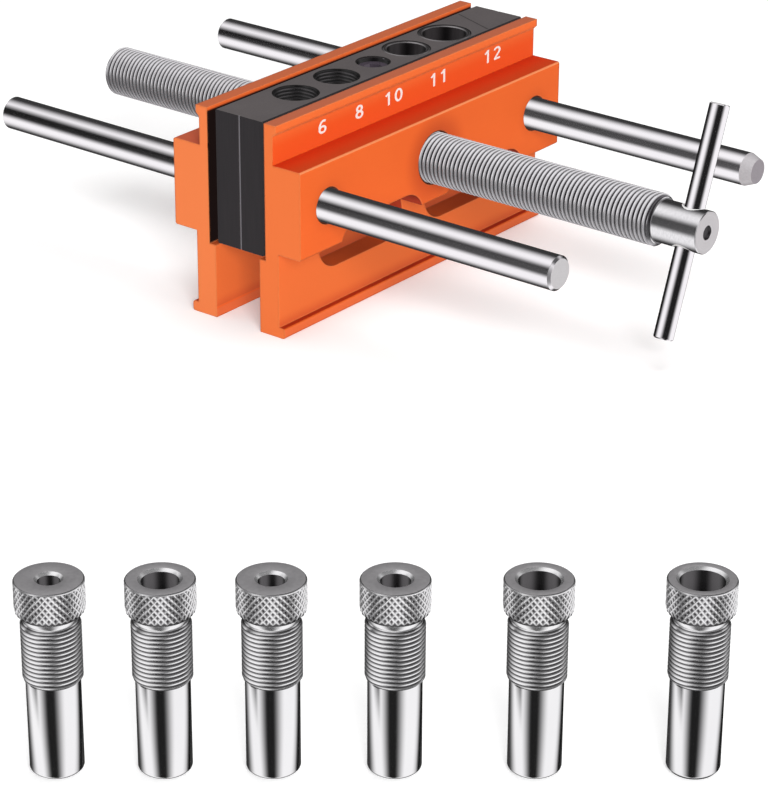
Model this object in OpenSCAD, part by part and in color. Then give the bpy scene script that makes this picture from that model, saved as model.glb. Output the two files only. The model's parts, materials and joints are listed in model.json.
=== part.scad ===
// Self centering doweling jig with six loose drill bushings.
// Two mirror-image jaws slide on two guide rods that are fixed in a centre block. A lead screw
// with opposite threads draws both jaws together, so the block stays centred on the board.
// X runs along the jaws, Y along the lead screw with its handle at -Y, and Z is up.
// The origin is the middle of the block's underside, where the edge of the board seats.

/* [Jaws] */
// Distance from each guide rod to the jaws' ends
rod_end = 15.2; // [12:0.1:40]
// Height of each jaw
jaw_h = 77.1; // [74:0.1:90]
// Distance between the two clamping pads as shown
pad_gap = 20; // [18:0.1:24]
// Step from the pad back to the recess that takes the block
pad_step = 2.7; // [2:0.1:4]
// Height of the pads, below the block
pad_h = 27.2; // [24:0.1:30]
// Thickness of the upper plate behind the block
upper_plate_t = 3.7; // [3:0.1:6]
// Thickness of the lower plate with the pad
lower_plate_t = 8.5; // [7:0.1:11]
// Depth of the thick middle, from the recess outwards
middle_d = 15.7; // [13:0.1:18]
// Height of the thick middle
middle_h = 32; // [28:0.5:36]
// Height of the thick middle's underside above the jaw's bottom
middle_z = 30.8; // [29:0.1:34]
// How far the lip along the top edge stands out
top_lip_out = 1.4; // [0.5:0.1:3]
// Height of that lip's face
top_lip_h = 2.6; // [1.5:0.1:4]
// How far the lip along the bottom edge stands out
foot_lip_out = 2.5; // [1:0.1:4]
// Height of that lip
foot_lip_h = 3.8; // [2.5:0.1:6]
// Rounding of that lip's edges
foot_lip_round = 0.9; // [0.4:0.1:1.2]
// Chamfer along the thick middle's outer edges
middle_chamfer = 0.5; // [0.3:0.1:1]

/* [Windows] */
// Length of each round-ended window
window_len = 46.8; // [30:0.5:55]
// Height of each window
window_h = 20; // [16:0.5:24]
// Width of the bridge between the two windows
bridge_w = 13.2; // [11:0.1:20]

/* [Guide block] */
// How far the jaws stand past the block's left end
jaw_overhang = 2; // [0:0.1:5]
// Height of the block
block_h = 49; // [46:0.5:60]
// Chamfer along the block's top edges
block_chamfer = 0.3; // [0.2:0.1:0.6]
// Chamfer along its bottom edges, which lets the pads pass under it
foot_chamfer = 0.6; // [0.6:0.1:1]
// Outside diameter of the thread in the two tapped holes
tapped_d = 16; // [15:0.1:16.5]
// Web between the left rod and the first tapped hole
rod_tapped_web = 2.88; // [1.5:0.01:5]
// Web between the second tapped hole and the lead screw's bore
tapped_screw_web = 3.2; // [1.5:0.1:5]
// Web between that bore and the smaller sleeve's hole
screw_sleeve_web = 1.33; // [1:0.01:5]
// Web between the two sleeves' holes
sleeve_web = 4.46; // [1.5:0.01:8]
// Web between the larger sleeve's hole and the right rod
sleeve_rod_web = 2.41; // [1.5:0.01:5]
// Web between the larger sleeve's hole and the block's long sides
side_web = 0.93; // [0.8:0.01:1.8]
// Chamfer at the mouths of the holes in the block's top
mouth_chamfer = 0.35; // [0.2:0.05:0.6]
// Width of the centre line cut in each end
scribe_w = 0.7; // [0.4:0.1:1]
// Depth of that line
scribe_d = 0.25; // [0.15:0.05:0.5]

/* [Drill sleeves] */
// Wall of both sleeves
sleeve_wall = 1.4; // [1.2:0.1:2]
// Bore of the smaller sleeve
sleeve_small_bore = 14.3; // [12:0.1:14.8]
// Bore of the larger sleeve
sleeve_large_bore = 16.3; // [14:0.1:16.6]
// How far the sleeves end above the block's underside
sleeve_recess = 0.5; // [0.2:0.1:2]

/* [Guide rods] */
// Diameter of both rods
rod_d = 12; // [10:0.1:13]
// How far the rods reach forwards from the centre
rod_front = 124.9; // [110:0.1:150]
// How far the rods reach backwards from the centre
rod_rear = 121.8; // [110:0.1:150]
// Chamfer on the rods' ends
rod_chamfer = 0.9; // [0.3:0.1:2]
// Length of the long chamfer on the right rod's front end
rod_taper_len = 4; // [2:0.1:6]
// How much that chamfer takes off the radius
rod_taper_drop = 1.6; // [0.5:0.1:3]

/* [Lead screw] */
// Outside diameter of the screw's thread
screw_d = 18.4; // [17:0.1:18.6]
// How far the thread reaches forwards
thread_front = 124.9; // [110:0.1:150]
// How far the thread reaches backwards
thread_rear = 123.6; // [110:0.1:150]
// Chamfer on the thread's ends
thread_chamfer = 1.2; // [0.5:0.1:1.5]
// Diameter of the plain head
head_d = 15; // [14:0.1:16]
// Length of the head beyond the thread
head_len = 17.7; // [15:0.1:25]
// Distance from the head's end to the T-bar
bar_inset = 6.9; // [6:0.1:8]
// Diameter of the groove that the retainer runs in
groove_d = 14.4; // [13:0.1:15]
// Diameter of the turning centres in the screw's ends
centre_d = 4.9; // [3:0.1:6]
// Straight depth of those turning centres, over their drilled points
centre_depth = 1.2; // [0.8:0.1:1.6]

/* [T-bar] */
// Diameter of the T-bar
bar_d = 7; // [6:0.1:7.5]
// Length of the T-bar
bar_len = 81; // [70:0.5:86]
// How far the bar's middle is pushed through the head
bar_offset = 2.15; // [-3:0.05:3]
// Tilt of the bar from upright, towards the right
bar_tilt = 20.6; // [0:0.1:45]
// Chamfer on the bar's ends
bar_chamfer = 0.4; // [0.2:0.1:1]
// Chamfer round the cross hole's mouths
cross_chamfer = 0.7; // [0.3:0.1:1]

/* [Retainer and set screws] */
// Outside diameter of the retainer's thread
retainer_d = 12; // [11:0.1:12.5]
// Depth of the retainer's top below the block's top
retainer_drop = 1.8; // [0.5:0.1:5]
// Diameter of the retainer's dog point
dog_d = 7; // [5:0.1:8]
// Width across the flats of the retainer's hexagon socket
retainer_socket = 6; // [5:0.5:7]
// Depth of that socket
retainer_socket_depth = 6; // [3:0.5:8]
// Outside diameter of the set screws that hold the rods
grub_d = 6; // [5:0.5:8]
// Length of those set screws
grub_len = 8; // [6:0.5:10]
// Width across the flats of their sockets
grub_socket = 3; // [2.5:0.5:4]
// Depth of their sockets
grub_socket_depth = 3.5; // [2:0.5:5]
// Length of the set screws' cone points
grub_point = 1.4; // [0.5:0.1:2]

/* [Drill bushings] */
// Bores of the six loose bushings, in the order in which they stand
bush_bores = [6, 10, 7, 8, 11, 12];
// Diameter of a bushing's smooth body
bush_body_d = 14.4; // [14:0.1:15]
// Length of the smooth body
bush_body_len = 27; // [20:0.5:35]
// Length of the thread
bush_thread_len = 16.7; // [12:0.1:20]
// Length of the plain neck over the thread
bush_neck_len = 2.7; // [1.5:0.1:4]
// Diameter of the knurled head
bush_head_d = 18.5; // [17.5:0.1:22]
// Length of the knurled head
bush_head_len = 9.8; // [8:0.1:14]
// Chamfer under the head and on the body's lower end
bush_chamfer = 1.2; // [0.5:0.1:1.3]
// Chamfer round the head's top
bush_top_chamfer = 0.5; // [0.3:0.1:0.8]
// Chamfer at the bore's mouth
bush_mouth_chamfer = 0.8; // [0.3:0.1:1]
// Length of the row in which the bushings stand
row_len = 167; // [150:1:220]
// Where the row starts, left of the centre
row_start_x = -325; // [-400:1:-250]
// Where the row starts, in front of the centre
row_start_y = -153; // [-250:1:-120]
// Turn of the row from the jaws' direction
row_turn = -51.3; // [-60:0.1:-30]

/* [Fits] */
// Radial clearance between a rod and its hole in a jaw
rod_fit = 0.08; // [0.03:0.01:0.1]
// Radial clearance round the lead screw
screw_fit = 0.1; // [0.05:0.01:0.2]
// Radial clearance round the T-bar
bar_fit = 0.1; // [0.05:0.01:0.15]
// Radial clearance of the small outer threads in their tapped holes
thread_fit = 0.08; // [0.04:0.01:0.12]
// Gap left at pressed and seated faces
seat_fit = 0.02; // [0.01:0.01:0.04]
// Clearance between the pads' tops and the block's underside
pad_clearance = 0.3; // [0.2:0.05:0.6]
// Clearance of the dog point in its groove
dog_fit = 0.2; // [0.1:0.05:0.3]
// Chamfer at the mouths of the rod and screw holes in the jaws
jaw_mouth = 0.6; // [0.3:0.1:1]

/* [Hidden] */
$fn = 96;
// Overrun of every cut beyond the face that it opens
over = 1;
BUSHINGS = [for (i = [1:6]) str("drill_bushing_", i)];

jaw_colour = "#f2642c";
block_colour = "#3a3739";
steel_colour = "#c9c9cc";
screw_colour = "#a2a2a5";

// Levels. The jaws' bottoms are the surface that everything stands on
floor_z = -pad_clearance - pad_h;
jaw_top = floor_z + jaw_h;
pad_top = -pad_clearance;
middle_bottom = floor_z + middle_z;
middle_top = middle_bottom + middle_h;
axis_z = (middle_bottom + middle_top) / 2;

// Distances of a jaw's faces from the middle plane, before it is mirrored to its side
pad_y = pad_gap / 2;
recess_y = pad_y + pad_step;
upper_y = recess_y + upper_plate_t;
lower_y = pad_y + lower_plate_t;
middle_y = recess_y + middle_d;

// Centres that the windows' round ends turn about
window_near = bridge_w / 2 + window_h / 2;
window_far = bridge_w / 2 + window_len - window_h / 2;

// Places along the block, from the screw in its middle outwards
bore_r = screw_d / 2 + screw_fit;
sleeve_small_r = sleeve_small_bore / 2 + sleeve_wall;
sleeve_large_r = sleeve_large_bore / 2 + sleeve_wall;
sleeve_small_x = bore_r + screw_sleeve_web + sleeve_small_r + seat_fit;
sleeve_large_x = sleeve_small_x + sleeve_small_r + sleeve_web + sleeve_large_r + 2 * seat_fit;
rod_x = sleeve_large_x + sleeve_large_r + sleeve_rod_web + rod_d / 2 + 2 * seat_fit;
tapped_b_x = -bore_r - tapped_screw_web - tapped_d / 2;
tapped_a_x = -rod_x + rod_d / 2 + seat_fit + rod_tapped_web + tapped_d / 2;

block_w = 2 * (sleeve_large_r + seat_fit + side_web);
jaw_len = 2 * (rod_x + rod_end);
block_len = jaw_len - jaw_overhang;
block_shift = jaw_overhang / 2;
sleeve_len = block_h - sleeve_recess;

head_end = thread_front + head_len;
bar_y = -head_end + bar_inset;

bush_h = bush_body_len + bush_thread_len + bush_neck_len + bush_head_len;
// How far along the row each bushing stands, as shares of its length
bush_shares = [0, 0.17, 0.34, 0.53, 0.75, 1];

// Points of a rounded corner about a centre, from one angle to another
function corner(cy, cz, r, from, to, steps = 3) =
    [for (i = [0:steps]) let (a = from + (to - from) * i / steps) [cy + r * cos(a), cz + r * sin(a)]];

// Lays a shape drawn round the Z axis along -Y, so that its top points forwards
module forwards() rotate([90, 0, 0]) children();

// A hexagon prism of given width across its flats
module hex_socket(flats, depth) cylinder(d = flats / cos(30), h = depth, $fn = 6);

// Cross-section of a jaw, with Y as the distance outwards and X drawn as height
module jaw_profile() {
    lip_y = upper_y + top_lip_out;
    foot_y = lower_y + foot_lip_out;
    lip_z = jaw_top - top_lip_h;
    foot_z = floor_z + foot_lip_h;
    polygon(concat(
        [[pad_y, floor_z], [pad_y, pad_top], [recess_y, pad_top], [recess_y, jaw_top],
         [lip_y, jaw_top], [lip_y, lip_z], [upper_y, lip_z - top_lip_out],
         [upper_y, middle_top],
         [middle_y - middle_chamfer, middle_top], [middle_y, middle_top - middle_chamfer],
         [middle_y, middle_bottom + middle_chamfer], [middle_y - middle_chamfer, middle_bottom],
         [lower_y, middle_bottom], [lower_y, foot_z]],
        corner(foot_y - foot_lip_round, foot_z - foot_lip_round, foot_lip_round, 90, 0),
        corner(foot_y - foot_lip_round, floor_z + foot_lip_round, foot_lip_round, 0, -90)
    ));
}

// Round hole through a jaw along Y with a chamfered outer mouth
module jaw_hole(x, r) {
    translate([x, pad_y, axis_z]) rotate([-90, 0, 0]) cylinder(r = r, h = middle_y);
    translate([x, middle_y - jaw_mouth, axis_z]) rotate([-90, 0, 0])
        cylinder(r1 = r, r2 = r + jaw_mouth + over, h = jaw_mouth + over);
}

// Round-ended window through the middle's lower edge and the lower plate
module jaw_window() {
    for (x = [window_near, window_far])
        translate([x, 0, pad_top]) rotate([-90, 0, 0]) cylinder(d = window_h, h = middle_y + over);
    translate([window_near, 0, pad_top - window_h / 2])
        cube([window_far - window_near, middle_y + over, window_h]);
}

// Jaw as an extrusion along X, on the +Y side
module jaw() difference() {
    translate([-jaw_len / 2, 0, 0]) rotate([90, 0, 90]) linear_extrude(jaw_len) jaw_profile();
    for (side = [-1, 1]) {
        jaw_hole(side * rod_x, rod_d / 2 + rod_fit);
        mirror([side < 0 ? 1 : 0, 0, 0]) jaw_window();
    }
    jaw_hole(0, bore_r);
}

module front_jaw() color(jaw_colour) mirror([0, 1, 0]) jaw();

module rear_jaw() color(jaw_colour) jaw();

// Upright hole through the block with a chamfered mouth at its top
module block_hole(x, r, bottom = 0) {
    translate([x, 0, bottom - over]) cylinder(r = r, h = block_h - bottom + 2 * over);
    translate([x, 0, block_h - mouth_chamfer])
        cylinder(r1 = r, r2 = r + mouth_chamfer + over, h = mouth_chamfer + over);
}

module block_body() translate([block_shift - block_len / 2, 0, 0]) rotate([90, 0, 90])
    linear_extrude(block_len) polygon([
        [foot_chamfer - block_w / 2, 0], [block_w / 2 - foot_chamfer, 0],
        [block_w / 2, foot_chamfer], [block_w / 2, block_h - block_chamfer],
        [block_w / 2 - block_chamfer, block_h], [block_chamfer - block_w / 2, block_h],
        [-block_w / 2, block_h - block_chamfer], [-block_w / 2, foot_chamfer]
    ]);

module guide_block() color(block_colour) difference() {
    block_body();
    block_hole(tapped_a_x, tapped_d / 2);
    block_hole(tapped_b_x, tapped_d / 2);
    block_hole(0, retainer_d / 2, axis_z + over);
    block_hole(sleeve_small_x, sleeve_small_r + seat_fit);
    block_hole(sleeve_large_x, sleeve_large_r + seat_fit);
    translate([0, block_w / 2 + over, axis_z]) forwards() cylinder(r = bore_r, h = block_w + 2 * over);
    for (side = [-1, 1]) {
        translate([side * rod_x, block_w / 2 + over, axis_z]) forwards()
            cylinder(r = rod_d / 2 + seat_fit, h = block_w + 2 * over);
        translate([side * rod_x, 0, -over]) cylinder(d = grub_d, h = axis_z + over);
        translate([block_shift + side * block_len / 2, 0, block_h / 2])
            cube([2 * scribe_d, scribe_w, block_h + 2 * over], center = true);
    }
}

// Guide rod along Y whose front end is cut back by a taper of given length and drop
module guide_rod(x, taper_len, taper_drop) color(steel_colour)
    translate([x, 0, axis_z]) forwards() rotate_extrude() polygon([
        [0, -rod_rear], [rod_d / 2 - rod_chamfer, -rod_rear], [rod_d / 2, rod_chamfer - rod_rear],
        [rod_d / 2, rod_front - taper_len], [rod_d / 2 - taper_drop, rod_front], [0, rod_front]
    ]);

module guide_rod_left() guide_rod(-rod_x, rod_chamfer, rod_chamfer);

module guide_rod_right() guide_rod(rod_x, rod_taper_len, rod_taper_drop);

// Turning centre, drilled downwards from an end at height 0, with a drill's blunt point
module turning_centre() rotate_extrude() polygon([
    [0, -centre_depth - centre_d / 2 * tan(30)], [centre_d / 2, -centre_depth],
    [centre_d / 2, over], [0, over]
]);

// Places a shape drawn along Z in the tilted cross hole of the screw's head
module along_bar() translate([0, bar_y, axis_z]) rotate([0, bar_tilt, 0]) children();

module lead_screw() color(screw_colour) difference() {
    translate([0, 0, axis_z]) forwards() rotate_extrude() polygon([
        [0, -thread_rear], [screw_d / 2 - thread_chamfer, -thread_rear],
        [screw_d / 2, thread_chamfer - thread_rear],
        [screw_d / 2, -dog_d / 2 - dog_fit], [groove_d / 2, -dog_d / 2 - dog_fit],
        [groove_d / 2, dog_d / 2 + dog_fit], [screw_d / 2, dog_d / 2 + dog_fit],
        [screw_d / 2, thread_front - thread_chamfer],
        [screw_d / 2 - thread_chamfer, thread_front], [head_d / 2, thread_front],
        [head_d / 2, head_end], [0, head_end]
    ]);
    along_bar() {
        translate([0, 0, -head_d]) cylinder(r = bar_d / 2 + bar_fit, h = 2 * head_d);
        for (turn = [0, 180]) rotate([turn, 0, 0])
            translate([0, 0, head_d / 2 - cross_chamfer])
                cylinder(r1 = bar_d / 2 + bar_fit, r2 = bar_d / 2 + bar_fit + cross_chamfer + over,
                         h = cross_chamfer + over);
    }
    translate([0, -head_end, axis_z]) forwards() turning_centre();
    translate([0, thread_rear, axis_z]) rotate([-90, 0, 0]) turning_centre();
}

module handle_bar() color(steel_colour) along_bar() translate([0, 0, bar_offset - bar_len / 2])
    rotate_extrude() polygon([
        [0, 0], [bar_d / 2 - bar_chamfer, 0], [bar_d / 2, bar_chamfer],
        [bar_d / 2, bar_len - bar_chamfer], [bar_d / 2 - bar_chamfer, bar_len], [0, bar_len]
    ]);

// Threaded plug whose dog point runs in the screw's groove
module screw_retainer() {
    r = retainer_d / 2 - thread_fit;
    top = block_h - retainer_drop;
    dog_end = axis_z + groove_d / 2 + dog_fit;
    shoulder = axis_z + bore_r + dog_fit;
    color(screw_colour) difference() {
        rotate_extrude() polygon([
            [0, dog_end], [dog_d / 2, dog_end], [dog_d / 2, shoulder],
            [r - mouth_chamfer, shoulder], [r, shoulder + mouth_chamfer],
            [r, top - mouth_chamfer], [r - mouth_chamfer, top], [0, top]
        ]);
        translate([0, 0, top - retainer_socket_depth])
            hex_socket(retainer_socket, retainer_socket_depth + over);
    }
}

// Set screw under a rod, turned in from the block's underside
module rod_grub(x) {
    r = grub_d / 2 - thread_fit;
    tip = axis_z - rod_d / 2 - seat_fit;
    color(screw_colour) difference() {
        translate([x, 0, 0]) rotate_extrude() polygon([
            [0, tip - grub_len], [r, tip - grub_len], [r, tip - grub_point],
            [r - grub_point, tip], [0, tip]
        ]);
        translate([x, 0, tip - grub_len - over]) hex_socket(grub_socket, grub_socket_depth + over);
    }
}

module rod_grub_left() rod_grub(-rod_x);

module rod_grub_right() rod_grub(rod_x);

// Plain sleeve, flush with the block's top
module drill_sleeve(x, bore, r) color(steel_colour) translate([x, 0, sleeve_recess])
    rotate_extrude() polygon([
        [bore / 2, 0], [r, 0], [r, sleeve_len - mouth_chamfer], [r - mouth_chamfer, sleeve_len],
        [bore / 2 + mouth_chamfer, sleeve_len], [bore / 2, sleeve_len - mouth_chamfer]
    ]);

module drill_sleeve_11() drill_sleeve(sleeve_small_x, sleeve_small_bore, sleeve_small_r);

module drill_sleeve_12() drill_sleeve(sleeve_large_x, sleeve_large_bore, sleeve_large_r);

// Threaded drill bushing, standing on its smooth body
module drill_bushing(i) {
    inner_r = bush_bores[i] / 2;
    thread_r = tapped_d / 2 - thread_fit;
    body_r = bush_body_d / 2;
    head_r = bush_head_d / 2;
    neck_z = bush_h - bush_head_len;
    along = bush_shares[i] * row_len;
    color(steel_colour)
        translate([row_start_x + along * cos(row_turn), row_start_y + along * sin(row_turn), floor_z])
        rotate_extrude() polygon([
            [inner_r, 0], [body_r - bush_chamfer, 0], [body_r, bush_chamfer],
            [body_r, bush_body_len], [thread_r, bush_body_len + thread_r - body_r],
            [thread_r, neck_z], [head_r - bush_chamfer, neck_z], [head_r, neck_z + bush_chamfer],
            [head_r, bush_h - bush_top_chamfer], [head_r - bush_top_chamfer, bush_h],
            [inner_r + bush_mouth_chamfer, bush_h], [inner_r, bush_h - bush_mouth_chamfer]
        ]);
}

guide_block();
front_jaw();
rear_jaw();
guide_rod_left();
guide_rod_right();
lead_screw();
handle_bar();
screw_retainer();
rod_grub_left();
rod_grub_right();
drill_sleeve_11();
drill_sleeve_12();
for (i = [0:len(BUSHINGS) - 1])
    drill_bushing(i);
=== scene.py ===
import json
import math

import bpy
from mathutils import Matrix, Vector

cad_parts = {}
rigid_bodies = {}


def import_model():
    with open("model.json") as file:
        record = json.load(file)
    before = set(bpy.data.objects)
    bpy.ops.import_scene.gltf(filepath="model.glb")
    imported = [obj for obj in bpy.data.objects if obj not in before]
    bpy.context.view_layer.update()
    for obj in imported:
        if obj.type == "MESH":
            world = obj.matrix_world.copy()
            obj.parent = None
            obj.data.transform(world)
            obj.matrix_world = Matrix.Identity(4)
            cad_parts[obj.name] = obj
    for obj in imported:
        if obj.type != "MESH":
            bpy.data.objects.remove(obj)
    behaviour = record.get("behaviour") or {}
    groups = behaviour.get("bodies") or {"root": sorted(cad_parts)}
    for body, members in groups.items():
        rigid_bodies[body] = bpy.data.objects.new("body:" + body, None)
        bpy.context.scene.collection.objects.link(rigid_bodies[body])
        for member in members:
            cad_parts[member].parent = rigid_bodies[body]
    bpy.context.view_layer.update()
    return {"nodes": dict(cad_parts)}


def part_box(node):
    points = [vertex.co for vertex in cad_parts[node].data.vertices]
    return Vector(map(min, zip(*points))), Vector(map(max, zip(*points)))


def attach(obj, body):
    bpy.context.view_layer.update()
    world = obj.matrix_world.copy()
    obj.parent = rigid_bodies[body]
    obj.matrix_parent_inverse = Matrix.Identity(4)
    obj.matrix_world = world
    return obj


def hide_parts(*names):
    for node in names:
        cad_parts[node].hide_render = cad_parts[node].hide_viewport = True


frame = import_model()

# Guide block. One bar of steel, ground and then blackened, that every other piece is fitted to
# or runs in. Its ends keep upright brush marks and a scribed centre line, and its top is a duller,
# lighter grey, partly for its grinding and partly as painted sheen, with one short scratch beside
# the last hole. Lengths are in millimetres.
MM = 0.001
SCRIBE_HALF_WIDE = 0.36
SCRATCH_X, SCRATCH_Y, SCRATCH_TURN = 59.2, -0.1, math.radians(21.6)
SCRATCH_ENDS = (55.4, 63.0)
MOUTHS_X, MOUTHS_REACH, MOUTHS_HALF_WIDE = -1, 70, 9.9


class Value:
    """An output of a shader node. Arithmetic on it adds Math nodes."""

    def __init__(self, finish, socket):
        self.finish, self.socket = finish, socket

    def maths(self, operation, *terms):
        return self.finish.node("Math", {"operation": operation}, dict(enumerate(terms)))

    def __add__(self, other):
        return self.maths("ADD", self, other)

    def __radd__(self, other):
        return self.maths("ADD", other, self)

    def __sub__(self, other):
        return self.maths("SUBTRACT", self, other)

    def __rsub__(self, other):
        return self.maths("SUBTRACT", other, self)

    def __mul__(self, other):
        return self.maths("MULTIPLY", self, other)

    def __rmul__(self, other):
        return self.maths("MULTIPLY", other, self)

    def __pow__(self, other):
        return self.maths("POWER", self, other)

    def __abs__(self):
        return self.maths("ABSOLUTE", self)

    def __lt__(self, other):
        return self.maths("LESS_THAN", self, other)

    def __gt__(self, other):
        return self.maths("GREATER_THAN", self, other)

    def rise(self, low, high):
        """0 below low, 1 above high, smooth between. With low above high it falls."""
        return self.finish.node(
            "MapRange", {"interpolation_type": "SMOOTHSTEP"},
            {"Value": self, "From Min": low, "From Max": high})

    def out(self, name):
        """Another output of the same node."""
        return Value(self.finish, self.socket.node.outputs[name])


class Finish:
    """A material, or the world, built one node at a time."""

    def __init__(self, owner):
        self.owner = owner
        owner.use_nodes = True
        self.tree = owner.node_tree
        self.tree.nodes.clear()

    def node(self, kind, settings=None, sockets=None, output=0):
        made = self.tree.nodes.new("ShaderNode" + kind)
        for name, setting in (settings or {}).items():
            setattr(made, name, setting)
        for name, given in (sockets or {}).items():
            if isinstance(given, Value):
                self.tree.links.new(given.socket, made.inputs[name])
            else:
                made.inputs[name].default_value = given
        return Value(self, made.outputs[output])

    def place(self):
        """x, y and z on the piece, in metres in the model's frame."""
        at = self.node("TexCoord", output="Object")
        x = self.node("SeparateXYZ", sockets={0: at})
        return x, x.out("Y"), x.out("Z")

    def facing(self):
        """x, y and z of the way that the surface faces."""
        x = self.node("SeparateXYZ", sockets={0: self.node("NewGeometry", output="Normal")})
        return x, x.out("Y"), x.out("Z")

    def grain(self, x, y, z, detail=2.0):
        """Noise from 0 to 1. x, y and z say how far along it each point lies."""
        at = self.node("CombineXYZ", sockets={0: x, 1: y, 2: z})
        return self.node("TexNoise", sockets={"Vector": at, "Scale": 1.0, "Detail": detail})

    def mix(self, share, first, second):
        return self.node(
            "Mix", {"data_type": "RGBA"}, {0: share, 6: first, 7: second}, output=2)

    def bump(self, height, depth, strength, under=None):
        """Normal for a height from 0 to 1 that stands for depth metres."""
        sockets = {"Height": height, "Distance": depth, "Strength": strength}
        if under is not None:
            sockets["Normal"] = under
        return self.node("Bump", sockets=sockets)

    def edge(self, size):
        """Normal rounded over size at the corners, and how much it turns there."""
        soft = self.node("Bevel", {"samples": 6}, {"Radius": size})
        flat = self.node("NewGeometry", output="Normal")
        along = self.node("VectorMath", {"operation": "DOT_PRODUCT"}, {0: soft, 1: flat}, "Value")
        return soft, 1 - along

    def surface(self, **sockets):
        named = {name.replace("_", " "): given for name, given in sockets.items()}
        self.end(self.node("BsdfPrincipled", sockets=named))

    def end(self, shader, kind="OutputMaterial"):
        last = self.tree.nodes.new("ShaderNode" + kind)
        self.tree.links.new(shader.socket, last.inputs["Surface"])


def tint(red, green, blue):
    """Screen colour from 0 to 255 a channel as Blender's linear colour."""
    shares = [channel / 255 for channel in (red, green, blue)]
    return [share / 12.92 if share < 0.04045 else ((share + 0.055) / 1.055) ** 2.4
            for share in shares] + [1.0]


def dress(node, material):
    """Gives a CAD node its finish."""
    made = frame["nodes"][node]
    made.data.materials.clear()
    made.data.materials.append(material)


block = Finish(bpy.data.materials.new("black_oxide"))
x, y, z = block.place()
nx, ny, nz = block.facing()
top = nz > 0.9
end = abs(nx) > 0.9
upright_brush = block.grain(x * 300, y * 5200, z * 55, 3.0)
long_brush = block.grain(x * 60, y * 4200, z * 900, 3.0)
speckle = block.grain(x * 2600, y * 2600, z * 2600)
cloud = block.grain(x * 55, y * 55, z * 55, 3.0)
# The top is painted a lighter grey than the ends, partly for its grinding and partly as painted
# sheen.
grey = block.mix(
    top,
    block.mix(upright_brush, tint(26, 23, 26), tint(48, 43, 46)),
    block.mix(0.6 * speckle + 0.4 * cloud, tint(80, 75, 76), tint(112, 106, 106)))
centre_line = end * (abs(y) < SCRIBE_HALF_WIDE * MM)
grey = block.mix(centre_line, grey, tint(122, 118, 124))
scratch = abs((x - SCRATCH_X * MM) * math.cos(SCRATCH_TURN)
              - (y - SCRATCH_Y * MM) * math.sin(SCRATCH_TURN)).rise(0.30 * MM, 0.12 * MM)
scratch = scratch * top * (x > SCRATCH_ENDS[0] * MM) * (x < SCRATCH_ENDS[1] * MM)
grey = block.mix(0.9 * scratch, grey, tint(30, 28, 28))
# Painted shade: the chamfered mouths of the holes are painted near black.
mouth_shade = (nz > 0.2) * (nz < 0.9) * (abs(y) < MOUTHS_HALF_WIDE * MM)
mouth_shade = mouth_shade * (abs(x - MOUTHS_X * MM) < MOUTHS_REACH * MM)
grey = block.mix(0.85 * mouth_shade, grey, tint(24, 22, 22))
# Corners painted paler, as wear and as painted highlight.
soft, wear_and_highlight = block.edge(0.35 * MM)
grey = block.mix((wear_and_highlight * 4).rise(0.1, 1.0) * 0.25, grey, tint(150, 146, 142))
brushed = block.bump(block.mix(end, long_brush, upright_brush), 0.03 * MM, 0.35, soft)
block.surface(
    Base_Color=grey, Metallic=0.2, Specular_IOR_Level=0.25, Normal=brushed,
    Roughness=0.38 + 0.14 * top + 0.12 * long_brush)
dress("guide_block", block.owner)

# Threads of the two tapped holes. They are cut in the block itself and blackened with it, and
# near the top their crests catch a little light. The bushings screw into them.
TAPPED_X = (-42.9, -20.5)
TAPPED_R, TAPPED_CREST, BUSH_PITCH = 7.99, 7.25, 1.25


def threaded(first, last, start, axis, pitch, crest, root, hand=1, ends=(None, None),
             profile=8, steps=96, inside=False):
    """Open helical shell between two distances along an axis. Its ends run out to the radii
    in ends, over as much length as the radius changes. inside is for the thread of a hole."""
    start, axis = Vector(start), Vector(axis).normalized()
    side = axis.orthogonal().normalized()
    across = axis.cross(side)
    rows = math.ceil((last - first) / pitch + 2) * profile
    points, faces = [], []
    for i in range(rows + 1):
        ridge = abs(2 * ((i / profile) % 1) - 1)
        ridge = min(max((ridge - 0.14) / 0.62, 0), 1)
        radius_here = root + (crest - root) * ridge * ridge * (3 - 2 * ridge)
        for j in range(steps):
            along = first + (i / profile - 1 + hand * j / steps) * pitch
            along = min(max(along, first), last)
            radius = radius_here
            for limit, off in zip(ends, (along - first, last - along)):
                if limit is not None and not inside:
                    radius = min(radius, limit + off)
                elif limit is not None:
                    radius = max(radius, limit - off)
            turn = 2 * math.pi * j / steps
            points.append((start + axis * along
                           + (side * math.cos(turn) + across * math.sin(turn)) * radius) * MM)
    for i in range(rows):
        for j in range(steps):
            k = i if j + 1 < steps else i + hand * profile
            if not 0 <= k < rows:
                continue
            face = [i * steps + j, k * steps + (j + 1) % steps,
                    (k + 1) * steps + (j + 1) % steps, (i + 1) * steps + j]
            reach = [(points[n] / MM - start).dot(axis) for n in face]
            if max(reach) - first < 1e-4 or last - min(reach) < 1e-4:
                continue
            faces.append(face[::-1] if inside else face)
    return points, faces


def piece(name, shells, finishes, body, replaces=(), sharp=28):
    """One object from several shells. Each shell is (points, faces), with a finish's number
    and whether it is smooth after them where these aren't 0 and True."""
    points, faces, numbers, smooth = [], [], [], []
    for shell in shells:
        shell_points, shell_faces, number, is_smooth = shell + (0, True)[len(shell) - 2:]
        faces += [[n + len(points) for n in face] for face in shell_faces]
        points += shell_points
        numbers += [number] * len(shell_faces)
        smooth += [is_smooth] * len(shell_faces)
    mesh = bpy.data.meshes.new(name)
    mesh.from_pydata(points, [], faces)
    mesh.polygons.foreach_set("material_index", numbers)
    mesh.polygons.foreach_set("use_smooth", smooth)
    mesh.update()
    mesh.set_sharp_from_angle(angle=math.radians(sharp))
    for finish in finishes:
        mesh.materials.append(finish)
    made = bpy.data.objects.new(name, mesh)
    bpy.context.scene.collection.objects.link(made)
    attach(made, body)
    if replaces:
        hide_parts(*replaces)
    return made


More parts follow.
